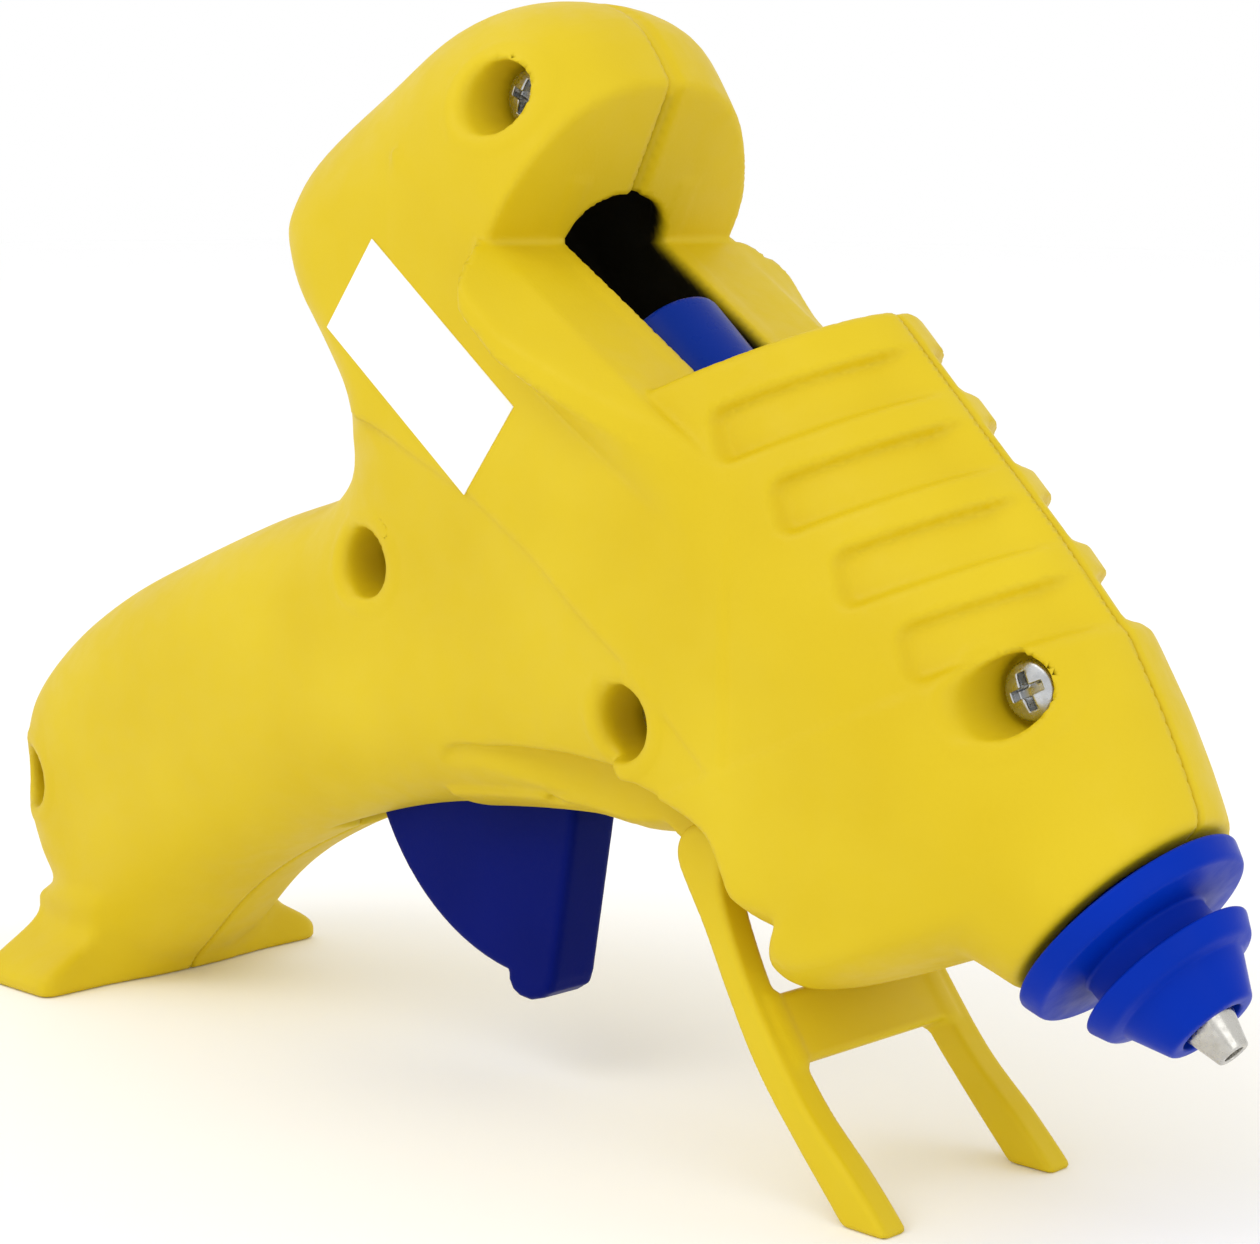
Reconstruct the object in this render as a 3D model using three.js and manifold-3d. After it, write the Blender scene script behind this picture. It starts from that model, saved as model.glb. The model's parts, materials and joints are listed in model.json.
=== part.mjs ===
// A small hot-melt glue gun: two moulded shell halves hold a finned-hood barrel with its heated melt
// chamber, a sprung trigger that feeds the glue stick through a sliding carriage, and a folding stand.
// Millimetres, +X towards the nozzle, +Z up, standing on the foot of the grip and the tips of the stand.
import * as THREE from "three";
import { mergeVertices } from "three/addons/utils/BufferGeometryUtils.js";
import Module from "manifold-3d";

const wasm = await Module();
wasm.setup();

// ---------------------------------------------------------------- driving dimensions
const stickDiameter = 7.2; // glue stick
const stickClearance = 0.4; // all round the stick in every bore it passes
const slideClearance = 0.3; // between a moving piece and what guides it
const seatClearance = 0.15; // between fixed pieces that seat in one another
const nozzlePitch = THREE.MathUtils.degToRad(40.7); // stick axis below the horizontal
const tipX = 112.9, // end of the nozzle, with x = 0 at the front edge of the foot
  tipZ = 15.4;

const wall = 2; // shell wall
const partingGap = 0.1; // between the two shell halves
const barrelHalfWidth = 13.6; // barrel and head
const gripHalfWidth = 12;
const footHalfWidth = 16;
const footLength = 10;
const footThickness = 2.6;
const wingHalfWidth = 18.6; // shoulders either side of the window
const carriageRadius = stickDiameter / 2 + stickClearance + 1; // tube that carries the stick
const windowHalfWidth = carriageRadius + slideClearance;
const rimRadius = 9.3; // shell mouth behind the nozzle boot
const rimStation = 12.3; // its distance behind the nozzle end, along the stick axis

const triggerX = 48.8, // trigger pivot
  triggerZ = 29.2,
  triggerHalfWidth = 2.5,
  triggerRadius = 20.6, // curved back edge, about the pivot
  triggerThrow = THREE.MathUtils.degToRad(18),
  triggerPinRadius = 1.5,
  armLength = 21, // pivot to drive pin
  forkGap = 1.2, // half the gap that the carriage lug runs in
  drivePinRadius = 1.1;

const standX = 73.5, // stand pivot
  standZ = 25.6,
  legThickness = 2.5,
  legWidth = 2.6,
  legInner = 8.15, // inner face of each leg from the mid-plane
  standPinRadius = 1.5,
  crossbarNear = 12.6, // crossbar edges, measured from the stand pivot
  crossbarFar = 17.8;

const screwHeadRadius = 2.1,
  counterbore = 2.8, // radius of the recess over each screw head
  screwHeadHeight = 1.9,
  screwShankRadius = 1.2,
  screwSink = 3.2; // top of the screw head below the shell's side
const carriageRear = 69.5, // stations of the carriage tube's ends at rest
  carriageFront = 52.5;
const chamberRear = 38,
  chamberRadius = 5.6;
const sleeveRear = 45.5;

const yellow = { color: 0xe8cf1c, roughness: 0.55, metalness: 0 };
const blue = { color: 0x0a2fa0, roughness: 0.45, metalness: 0 };
const silicone = { color: 0x1238b4, roughness: 0.6, metalness: 0 };
const steel = { color: 0xb9bcc0, roughness: 0.35, metalness: 1 };
const aluminium = { color: 0xc9cbce, roughness: 0.45, metalness: 1 };
const copper = { color: 0xc98a5a, roughness: 0.4, metalness: 1 };
const ceramic = { color: 0x8a8480, roughness: 0.8, metalness: 0 };
const film = { color: 0xb8741f, roughness: 0.35, metalness: 0 };
const wireRed = { color: 0xa32018, roughness: 0.5, metalness: 0 };
const wireBlack = { color: 0x1c1c1e, roughness: 0.5, metalness: 0 };
const paper = { color: 0xf4f4f2, roughness: 0.5, metalness: 0 };

// ---------------------------------------------------------------- the stick axis
const along = [Math.cos(nozzlePitch), -Math.sin(nozzlePitch)]; // towards the nozzle, as (x, z)
const above = [Math.sin(nozzlePitch), Math.cos(nozzlePitch)]; // square to it, upwards
// Point at a station behind the nozzle end and a height above the stick axis, as [x, z].
const at = (station, height) => [
  tipX - station * along[0] + height * above[0],
  tipZ - station * along[1] + height * above[1],
];
const stationOf = ([x, z]) => (tipX - x) * along[0] + (tipZ - z) * along[1];

// ---------------------------------------------------------------- solids
function solid(geometry) {
  const g = (geometry.index ? geometry.toNonIndexed() : geometry).clone();
  g.deleteAttribute("normal");
  g.deleteAttribute("uv");
  const merged = mergeVertices(g, 1e-4);
  return new wasm.Manifold(
    new wasm.Mesh({
      numProp: 3,
      vertProperties: merged.attributes.position.array,
      triVerts: new Uint32Array(merged.index.array),
    }),
  );
}
const union = (...parts) => parts.flat().reduce((a, b) => a.add(b));
const cut = (body, ...tools) => tools.flat().reduce((a, b) => a.subtract(b), body);

// Prism of a side-view outline [x, z], between two values of y.
function prism(outline, yLow, yHigh) {
  const shape = new THREE.Shape(outline.map(([x, z]) => new THREE.Vector2(x, z)));
  const g = new THREE.ExtrudeGeometry(shape, { depth: yHigh - yLow, bevelEnabled: false, curveSegments: 12 });
  g.rotateX(Math.PI / 2);
  return solid(g.translate(0, yHigh, 0));
}
// Box given by its low and high corners.
function block(low, high) {
  const size = high.map((h, i) => h - low[i]);
  const mid = high.map((h, i) => (h + low[i]) / 2);
  return solid(new THREE.BoxGeometry(...size).translate(...mid));
}
// Cylinder along Y centred at [x, z].
function pinY([x, z], radius, yLow, yHigh, segments = 24) {
  const g = new THREE.CylinderGeometry(radius, radius, yHigh - yLow, segments);
  return solid(g.translate(x, (yLow + yHigh) / 2, z));
}
// Turned solid about the stick axis: profile of [station, radius] pairs that starts and ends on the axis,
// or closes on itself.
function turned(profile, segments = 24) {
  const ends = profile[0][1] === 0 ? profile : [...profile, profile[0]];
  const g = new THREE.LatheGeometry(ends.map(([s, r]) => new THREE.Vector2(r, s)), segments);
  const m = new THREE.Matrix4().makeBasis(
    new THREE.Vector3(above[0], 0, above[1]),
    new THREE.Vector3(-along[0], 0, -along[1]),
    new THREE.Vector3(0, -1, 0),
  );
  g.applyMatrix4(m.setPosition(tipX, 0, tipZ));
  const made = solid(g);
  return made.volume() > 0 ? made : flipped(g);
}
function flipped(geometry) {
  const g = geometry.index ? geometry.toNonIndexed() : geometry;
  const p = g.attributes.position;
  for (let i = 0; i < p.count; i += 3)
    for (let k = 0; k < 3; k++) {
      const a = p.array[i * 3 + k];
      p.array[i * 3 + k] = p.array[i * 3 + 6 + k];
      p.array[i * 3 + 6 + k] = a;
    }
  return solid(g);
}
const tube = (s0, s1, outer, inner) => turned([[s0, inner], [s0, outer], [s1, outer], [s1, inner]]);
const rod = (s0, s1, radius, segments) => turned([[s0, 0], [s0, radius], [s1, radius], [s1, 0]], segments);
// Box lying along the stick axis: stations s0..s1, |y| up to halfWidth unless yLow is given, heights h0..h1.
const axisBox = (s0, s1, h0, h1, yHigh, yLow = -yHigh) =>
  prism([at(s0, h0), at(s0, h1), at(s1, h1), at(s1, h0)], yLow, yHigh);

// Loft of superellipse rings. Each section has two ends, a and b, on the side outline and a half width.
// Squareness 2 is an ellipse and larger values are boxier; a section can have its own value, top, towards
// its b end. An inset moves the skin inwards all round.
function loft(sections, squareness, inset = 0, ringPoints = 20) {
  const rings = sections.map(({ a, b, w, top = squareness }, i) => {
    const d = [b[0] - a[0], b[1] - a[1]];
    const length = Math.hypot(...d);
    const u = d.map((v) => v / length);
    // The first and last sections also step inwards along the loft by the inset.
    const next = sections[Math.min(i + 1, sections.length - 1)],
      last = sections[Math.max(i - 1, 0)];
    const run = [0, 1].map((k) => next.a[k] + next.b[k] - last.a[k] - last.b[k]);
    const runLength = Math.hypot(...run);
    const end = i === 0 ? 1 : i === sections.length - 1 ? -1 : 0;
    const centre = [0, 1].map((k) => (a[k] + b[k]) / 2 + (end * inset * run[k]) / runLength);
    const half = length / 2 - inset,
      wide = w - inset;
    return Array.from({ length: ringPoints }, (_, k) => {
      const t = (2 * Math.PI * k) / ringPoints,
        c = Math.cos(t),
        s = Math.sin(t);
      const power = 2 / (c > 0 ? top : squareness);
      const p = Math.sign(c) * Math.abs(c) ** power * half,
        q = Math.sign(s) * Math.abs(s) ** power * wide;
      return new THREE.Vector3(centre[0] + u[0] * p, q, centre[1] + u[1] * p);
    });
  });
  const positions = [];
  const face = (...v) => v.forEach((p) => positions.push(p.x, p.y, p.z));
  for (let i = 0; i + 1 < rings.length; i++)
    for (let k = 0; k < ringPoints; k++) {
      const n = (k + 1) % ringPoints;
      face(rings[i][k], rings[i][n], rings[i + 1][k]);
      face(rings[i][n], rings[i + 1][n], rings[i + 1][k]);
    }
  for (const [ring, turn] of [[rings[0], 1], [rings.at(-1), -1]])
    for (let k = 1; k + 1 < ringPoints; k++)
      turn > 0 ? face(ring[0], ring[k + 1], ring[k]) : face(ring[0], ring[k], ring[k + 1]);
  const g = new THREE.BufferGeometry();
  g.setAttribute("position", new THREE.Float32BufferAttribute(positions, 3));
  const made = solid(g);
  return made.volume() > 0 ? made : flipped(g);
}

// ---------------------------------------------------------------- outer form
// Grip: from the foot up to the barrel. a is on the finger side and b on the palm side.
const grip = [
  { a: [-0.4, 0], b: [-footLength + 1, 1], w: gripHalfWidth - 1.6 },
  { a: [4, 3.6], b: [-11.6, 8], w: gripHalfWidth - 1.4 },
  { a: [9.2, 8.4], b: [-14.2, 14], w: gripHalfWidth - 1 },
  { a: [15, 12.5], b: [-15, 20], w: gripHalfWidth - 0.6 },
  { a: [21.5, 16], b: [-12.6, 27.2], w: gripHalfWidth - 0.3 },
  { a: [28, 18.6], b: [-4.4, 34], w: gripHalfWidth },
  { a: [37, 21.4], b: [8.4, 40.2], w: gripHalfWidth },
  { a: [47, 23.4], b: [21, 44.7], w: gripHalfWidth },
  { a: [57, 24.2], b: [32, 48.8], w: gripHalfWidth },
  { a: [66, 23.4], b: [46, 54], w: gripHalfWidth },
];
// Neck: carries the palm side of the grip up to the head. a is on the barrel side and b at the back.
const neck = [
  { a: [66, 34], b: [33.4, 47.6], w: gripHalfWidth },
  { a: [66, 42], b: [35.6, 51], w: barrelHalfWidth - 0.6 },
  { a: [65, 50], b: [34.9, 55], w: barrelHalfWidth },
  { a: [62, 57], b: [31.2, 60.8], w: barrelHalfWidth },
  { a: [58, 62], b: [27.6, 66.2], w: barrelHalfWidth },
  { a: [54.6, 66], b: [26.4, 70], w: barrelHalfWidth },
  { a: [54.2, 68.6], b: [27.2, 73.4], w: barrelHalfWidth - 0.8 },
];
// Head: the arched bridge over the stick inlet. a is at the bottom and b on top.
const head = [
  { a: [29.5, 61], b: [27.4, 73.2], w: barrelHalfWidth - 4.6 },
  { a: [34, 56], b: [30.2, 77], w: barrelHalfWidth - 1.2 },
  { a: [38, 50], b: [37.5, 81.4], w: barrelHalfWidth },
  { a: [42, 48], b: [44.5, 85.6], w: barrelHalfWidth },
  { a: [46, 46], b: [51.5, 87], w: barrelHalfWidth },
  { a: [46.5, 46], b: [57, 85.4], w: barrelHalfWidth },
  { a: [46.9, 46], b: [61, 80.3], w: barrelHalfWidth },
];
// Barrel: stations along the stick axis, with heights of its underside and hood above the axis.
const barrel = [
  { s: rimStation, low: -rimRadius, high: rimRadius, w: rimRadius - 0.3, top: 2 },
  { s: rimStation + 2.5, low: -rimRadius, high: 10.5, w: rimRadius + 0.6, top: 2 },
  { s: 18, low: -11.6, high: 12, w: 11.2, top: 1.9 },
  { s: 20.5, low: -16.6, high: 13.1, w: 12, top: 1.85 },
  { s: 26, low: -17.2, high: 14.9, w: barrelHalfWidth - 0.6, top: 1.8 },
  { s: 33, low: -19.8, high: 15.8, w: barrelHalfWidth, top: 1.75 },
  { s: 44, low: -22, high: 16.5, w: barrelHalfWidth, top: 1.75 },
  { s: 62, low: -20, high: 17.6, w: barrelHalfWidth, top: 1.75 },
].map(({ s, low, high, w, top }) => ({ a: at(s, low), b: at(s, high), w, top }));
const shoulderSlope = 0.68; // fall of the shoulders either side of the window, per unit forwards
const shoulderZ = (x) => 68.3 - shoulderSlope * (x - 54.9);
// Trunk: the flat-sided part that joins barrel, head and grip, under the shoulders.
const trunk = [
  [44, 56], [44, shoulderZ(54.9)], [54.9, shoulderZ(54.9)], [72, shoulderZ(72)],
  [76, 52], [76, 38], [69, 39], [53.2, 49.2],
];
// Wings: the shoulders flare out beside the window. Each section is a side outline at one half width.
const wingSections = [
  { y: barrelHalfWidth - 3, outline: [[53, 68.6], [54.6, 68.4], [74, 55.2], [72, 50], [50, 60]] },
  { y: barrelHalfWidth + 2, outline: [[55, 67.6], [56, 67.2], [69, 57.4], [67.5, 55], [54, 61.5]] },
  { y: wingHalfWidth, outline: [[56.6, 66.1], [57.4, 65.5], [60.4, 62.4], [60.2, 61.6], [56.4, 64.4]] },
];
function wing(side) {
  const n = wingSections[0].outline.length,
    positions = [];
  const p = ({ y, outline }, k) => [outline[k % n][0], side * y, outline[k % n][1]];
  const face = (...v) => v.forEach((q) => positions.push(...q));
  wingSections.slice(1).forEach((next, i) => {
    const last = wingSections[i];
    for (let k = 0; k < n; k++) {
      face(p(last, k), p(last, k + 1), p(next, k));
      face(p(last, k + 1), p(next, k + 1), p(next, k));
    }
  });
  const [root, tip] = [wingSections[0], wingSections.at(-1)];
  for (let k = 1; k + 1 < n; k++) {
    face(p(root, 0), p(root, k + 1), p(root, k));
    face(p(tip, 0), p(tip, k), p(tip, k + 1));
  }
  const g = new THREE.BufferGeometry();
  g.setAttribute("position", new THREE.Float32BufferAttribute(positions, 3));
  const made = solid(g);
  return made.volume() > 0 ? made : flipped(g);
}
// Foot: a plate under the grip that flares to both sides.
function foot() {
  const shape = new THREE.Shape(
    [
      [-footHalfWidth, 0], [footHalfWidth, 0], [footHalfWidth, footThickness - 0.8], [gripHalfWidth - 2, 6.6],
      [2 - gripHalfWidth, 6.6], [-footHalfWidth, footThickness - 0.8],
    ].map(([y, z]) => new THREE.Vector2(y, z)),
  );
  const g = new THREE.ExtrudeGeometry(shape, { depth: footLength, bevelEnabled: false });
  g.applyMatrix4(
    new THREE.Matrix4().makeBasis(
      new THREE.Vector3(0, 1, 0),
      new THREE.Vector3(0, 0, 1),
      new THREE.Vector3(1, 0, 0),
    ),
  );
  return solid(g.translate(-footLength, 0, 0));
}

// The hood's ribs run square to this direction in side view.
const ribPitch = THREE.MathUtils.degToRad(25);
const ribAlong = [Math.cos(ribPitch), Math.sin(ribPitch)]; // up and forwards, along a rib
const ribDown = [Math.sin(ribPitch), -Math.cos(ribPitch)]; // from rib to rib, down the hood
const ribPoint = (e, d) => [0, 1].map((k) => e * ribAlong[k] + d * ribDown[k]);
const ribBox = (e0, e1, d0, d1, yHigh, yLow = -yHigh) =>
  prism([ribPoint(e0, d0), ribPoint(e0, d1), ribPoint(e1, d1), ribPoint(e1, d0)], yLow, yHigh);
const grooveCount = 4,
  groovePitch = 6.5,
  grooveWidth = 3.3,
  grooveDepth = 1,
  firstGroove = -17.6, // middle of the first groove, along ribDown
  firstGrooveEnd = 92, // closed end of the first groove, along ribAlong
  grooveEndStep = 3.1; // each next groove starts this much further along
const hoodRear = -23; // the hood's rear face, along ribDown

const screwPlaces = {
  head: [53.8, 79.1],
  front: [99.5, 39.1],
  upper_middle: [38.9, 42.8],
  lower_middle: [68.4, 33.8],
  grip: [-9.3, 18.4],
};
// Half width of the shell's side at each screw, to the nearest half millimetre or so.
const screwSides = { head: 12, front: 9.4, upper_middle: 11.2, lower_middle: 12.2, grip: 8.4 };

const hood = cut(
  loft(barrel, 2.4),
  ribBox(0, 160, -120, hoodRear, 40), // nothing of the hood behind its rear face
);
const core = loft(
  barrel.map((s) => ({ ...s, w: s.w - grooveDepth })),
  2.4,
);
const groove = (i) => {
  const d = firstGroove + i * groovePitch;
  return cut(
    ribBox(firstGrooveEnd + i * grooveEndStep, 130, d - grooveWidth / 2, d + grooveWidth / 2, 30),
    core,
  );
};
const barrelBelow = loft(barrel, 2.4).intersect(
  prism([[60, 66], [120, 20], [120, -5], [60, -5]], -30, 30), // barrel without the part over the window
);
const hoodAndBarrel = union(hood, barrelBelow.intersect(ribBox(0, 160, hoodRear, 200, 40)));
const outer = cut(
  union(loft(grip, 2.5), loft(neck, 3), loft(head, 2.4), prism(trunk, -barrelHalfWidth, barrelHalfWidth),
    hoodAndBarrel, wing(1), wing(-1), foot()),
  block([-200, -60, -20], [200, 60, 0]),
  Array.from({ length: grooveCount }, (_, i) => groove(i)),
);

// ---------------------------------------------------------------- shell cavity, recess and openings
const trunkCavity = [
  [44, 44], [44, 62], [54, 62], [70, 54.4], [74, 50], [74, 40], [72, 30], [50, 33],
];
const cavity = union(
  loft(grip, 2.5, wall),
  loft(head, 2.4, wall),
  loft(neck, 3, wall),
  prism(trunkCavity, -gripHalfWidth + wall, gripHalfWidth - wall),
  loft(barrel, 2.4, wall).intersect(ribBox(0, 160, hoodRear + wall, 200, 40)),
);
// The stand's legs fold into this recess, so below its arched edge the body is no wider than recessFloor.
const recessFloor = legInner - slideClearance;
const recessEdge = new THREE.QuadraticBezierCurve(
  new THREE.Vector2(47.4, 29.2), new THREE.Vector2(61, 32), new THREE.Vector2(74.6, 28.2),
);
const recess = [
  [47.2, 10],
  ...recessEdge.getPoints(8).map((p) => [p.x, p.y]),
  [77.8, 26.2], [78.6, 24], [80.2, 21.4], [80.2, 10],
];
const recessCut = [-1, 1].map((side) =>
  side < 0 ? prism(recess, -40, -recessFloor) : prism(recess, recessFloor, 40),
);
// The recess floor: a keel narrower than the stand, closed by its own walls.
const keelOuter = prism(
  [[46, 30], [46, 23.2], [57, 24.2], [64.5, 24.4], [68, 22.6], [74, 21.8], [80.5, 20.6], [81, 27], [76, 31]],
  -recessFloor, recessFloor,
);
const triggerSlot = prism([[25, 8], [25, 24], [31, 31.4], [55.4, 31.4], [55.4, 8]],
  -triggerHalfWidth - 0.7, triggerHalfWidth + 0.7);
// The stand's crossbar folds up into this notch in the keel.
const foldNotch = cut(
  pinY([standX, standZ], crossbarFar + slideClearance + 0.2, -recessFloor - 1, recessFloor + 1, 48),
  pinY([standX, standZ], crossbarNear - slideClearance - 0.2, -30, 30, 32),
).intersect(prism([[54, 10], [54, 25.7], [63, 25.7], [63, 10]], -30, 30));
const inletRadius = stickDiameter / 2 + stickClearance + 0.6;
const channelFloor = -carriageRadius - slideClearance;
const channelWall = 1.7;
const channelTop = prism(
  [at(94, 9), at(76, 9), at(47, 12), at(47, channelFloor), at(94, channelFloor)],
  -windowHalfWidth, windowHalfWidth,
);
// Everything of the channel that lies over the shoulders or inside the head's arch is open.
const windowOpening = channelTop.intersect(
  prism([[44, 76], [57.5, 73.4], [64, 73], [86, 62], [75, 45], [44, 58]], -20, 20),
);
// A trough guides the carriage: walls beside it and a floor with a slot for the carriage lug.
const trough = cut(
  prism(
    [at(50, channelFloor - channelWall), at(50, 7.5), at(60, 7.5), at(70, 6), at(90, 6),
      at(90, channelFloor - channelWall)],
    -windowHalfWidth - channelWall, windowHalfWidth + channelWall,
  ),
  prism([at(45, channelFloor), at(45, 20), at(95, 20), at(95, channelFloor)], -windowHalfWidth, windowHalfWidth),
  axisBox(47, 76, -30, 0, forkGap + 0.1),
).intersect(outer);
const inlet = rod(80, 130, inletRadius, 28);
// The cord enters low at the back of the grip.
const cordRadius = 3.1,
  cordZ = 9.6;
const cordInlet = solid(
  new THREE.CylinderGeometry(cordRadius, cordRadius, 14, 24).rotateZ(Math.PI / 2).translate(-14, 0, cordZ),
);
const bootSeatRadius = 6.6; // bore of the shell mouth
const mouth = rod(rimStation - 4, rimStation + wall + 3, bootSeatRadius, 32);

// Supports for the melt chamber: a rib across the barrel at each support ring.
const ringStations = [18.5, 32];
const ringOuter = 8.2,
  ringThickness = 2.4;
const supportRib = (s) => {
  const bar = axisBox(s - 1.6, s + 1.6, -13.6, 12, barrelHalfWidth - 1);
  return cut(
    bar,
    rod(s - ringThickness / 2 - seatClearance, s + ringThickness / 2 + seatClearance, ringOuter + seatClearance),
    rod(s - 4, s + 4, ringOuter - 1.6),
    axisBox(s - 4, s + 4, -12, 0, 5.9), // way through for the heater pocket and its wires
  ).intersect(loft(barrel, 2.4, wall / 2));
};

const bossRadius = counterbore + 1.2;
const triggerPinHalf = 6.6; // half length of the trigger pin
const openings = [windowOpening, inlet, cordInlet, mouth, triggerSlot];

// One half of the shell; side is -1 for the right half (screw heads) and +1 for the left half.
function shell(side) {
  const far = 60;
  const half = side < 0 ? block([-far, -far, -1], [180, -partingGap / 2, 130])
    : block([-far, partingGap / 2, -1], [180, far, 130]);
  let skin = cut(outer, cavity, recessCut);
  const keel = cut(keelOuter, prism(
    [[44, 40], [44, 25.4], [57, 26.2], [66, 26.4], [70, 24.6], [74, 23.8], [78.6, 23], [78.6, 40]],
    -recessFloor + wall, recessFloor - wall,
  ));
  const notchWalls = keelOuter.intersect(
    prism([[53.4, 20], [53.4, 30.2], [63, 30.2], [63, 20]], -recessFloor, recessFloor),
  );
  // A ledge closes the step between the recess floor and the outer wall, round the recess edge.
  const ledge = cut(
    prism([[45.6, 10], [45.6, 29.8], [48, 31.4], [61, 32.6], [75.4, 30], [79.6, 27], [82, 21], [82, 10]],
      -barrelHalfWidth, barrelHalfWidth),
    recessCut,
    prism([[45.6, 5], [45.6, 40], [84, 40], [84, 5]], -recessFloor + wall, recessFloor - wall),
  ).intersect(outer);
  let body = union(skin, keel, notchWalls, ledge, trough, ringStations.map(supportRib));
  // Bosses for screws and for the trigger pin.
  for (const [name, place] of Object.entries(screwPlaces)) {
    const reach = screwSides[name];
    const seat = reach - screwSink - screwHeadHeight;
    const stem = screwShankRadius + 1.2;
    body = body.add(union(
      pinY(place, stem, side < 0 ? -reach : 0, side < 0 ? 0 : reach - 0.6),
      side < 0 ? pinY(place, bossRadius, -reach, -seat + 1.4) : [],
    ).intersect(outer));
  }
  const bossStart = triggerHalfWidth + slideClearance;
  body = body.add(pinY([triggerX, triggerZ], triggerPinRadius + 2, side < 0 ? -recessFloor : bossStart,
    side < 0 ? -bossStart : recessFloor).intersect(outer));
  body = cut(body, openings, foldNotch, rod(14, sleeveRear + 0.5, chamberRadius + 0.3, 32));
  for (const [name, place] of Object.entries(screwPlaces)) {
    const seat = screwSides[name] - screwSink - screwHeadHeight;
    if (side < 0) {
      body = cut(body,
        pinY(place, counterbore, -40, -seat),
        pinY(place, screwShankRadius + 0.3, -seat - 1, 1));
    } else body = cut(body, pinY(place, screwShankRadius + 0.05, -1, screwSides[name] - 2.4));
  }
  const pinBore = side < 0 ? [-triggerPinHalf - 0.2, -1] : [1, triggerPinHalf + 0.2];
  body = cut(body, pinY([triggerX, triggerZ], triggerPinRadius + 0.05, ...pinBore));
  // Bores for the stand's stub pins.
  body = cut(body, pinY([standX, standZ], standPinRadius + 0.1, side < 0 ? -12 : 3, side < 0 ? -3 : 12));
  body = body.intersect(half);
  const pieces = body.decompose().sort((p, q) => q.volume() - p.volume());
  return pieces[0];
}

// ---------------------------------------------------------------- moving pieces
// Trigger: a fin whose curved back edge is an arc about the pivot, and a forked arm above it.
const restAngle = Math.PI / 2 - nozzlePitch + triggerThrow / 2; // arm square to the stick axis at mid throw
const armEnd = [triggerX + armLength * Math.cos(restAngle), triggerZ + armLength * Math.sin(restAngle)];
function arc([cx, cz], radius, from, to, steps) {
  return Array.from({ length: steps + 1 }, (_, i) => {
    const t = from + ((to - from) * i) / steps;
    return [cx + radius * Math.cos(t), cz + radius * Math.sin(t)];
  });
}
const rad = THREE.MathUtils.degToRad;
function trigger() {
  const fin = prism(
    [
      ...arc([triggerX, triggerZ], triggerRadius, rad(206), rad(261), 14),
      [45.7, 7.9], [46.6, 7], [48.1, 6.8], [50.4, 7.7], [50.9, 9], [53.2, 22.4], [52.6, 29.4], [51, 32.4], [45.6, 32],
    ],
    -triggerHalfWidth, triggerHalfWidth,
  );
  const plate = (yLow, yHigh) => {
    const n = [-Math.sin(restAngle), Math.cos(restAngle)];
    const p = (t, k) => [0, 1].map((i) => (i ? triggerZ : triggerX) + (t * [Math.cos(restAngle), Math.sin(restAngle)][i]) + k * n[i]);
    return union(
      prism([p(-2, 3), p(-2, -3), p(armLength, -2), p(armLength, 2)], yLow, yHigh),
      pinY(armEnd, 2.2, yLow, yHigh, 20),
    );
  };
  return cut(
    union(fin, plate(-triggerHalfWidth, -forkGap), plate(forkGap, triggerHalfWidth)),
    pinY([triggerX, triggerZ], triggerPinRadius + 0.05, -10, 10),
    pinY(armEnd, drivePinRadius + 0.02, -10, 10),
  );
}

// Carriage: a tube that the stick passes through, with a lug below for the drive pin.
const driveStation = stationOf(armEnd);
const driveHeight = (armEnd[0] - tipX) * above[0] + (armEnd[1] - tipZ) * above[1];
function carriage() {
  const lugHalf = 2.7;
  const lug = axisBox(driveStation - lugHalf, driveStation + lugHalf, driveHeight - 2.6, -carriageRadius + 0.8,
    forkGap - slideClearance);
  return cut(
    union(tube(carriageFront, carriageRear, carriageRadius, stickDiameter / 2 + stickClearance), lug),
    rod(carriageFront - 1, carriageRear + 1, stickDiameter / 2 + stickClearance),
    axisBox(driveStation - drivePinRadius - 0.25, driveStation + drivePinRadius + 0.25, driveHeight - 1.5,
      driveHeight + 1.7, 6),
    axisBox(jawStation - 1.5, jawStation + 1.5, 2, 8, 1.6), // window for the grip jaw
  );
}
const jawStation = 60;
// Grip jaw: a small toothed plate let into the top of the carriage, which bites the stick on the forward stroke.
function gripJaw() {
  const bore = stickDiameter / 2 + stickClearance;
  return prism(
    [
      at(jawStation - 1.2, bore - 0.1), at(jawStation - 1.2, carriageRadius - 0.1),
      at(jawStation + 1.2, carriageRadius - 0.1), at(jawStation + 1.2, bore + 0.3), at(jawStation + 0.4, bore - 0.1),
    ],
    -1.3, 1.3,
  );
}

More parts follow.
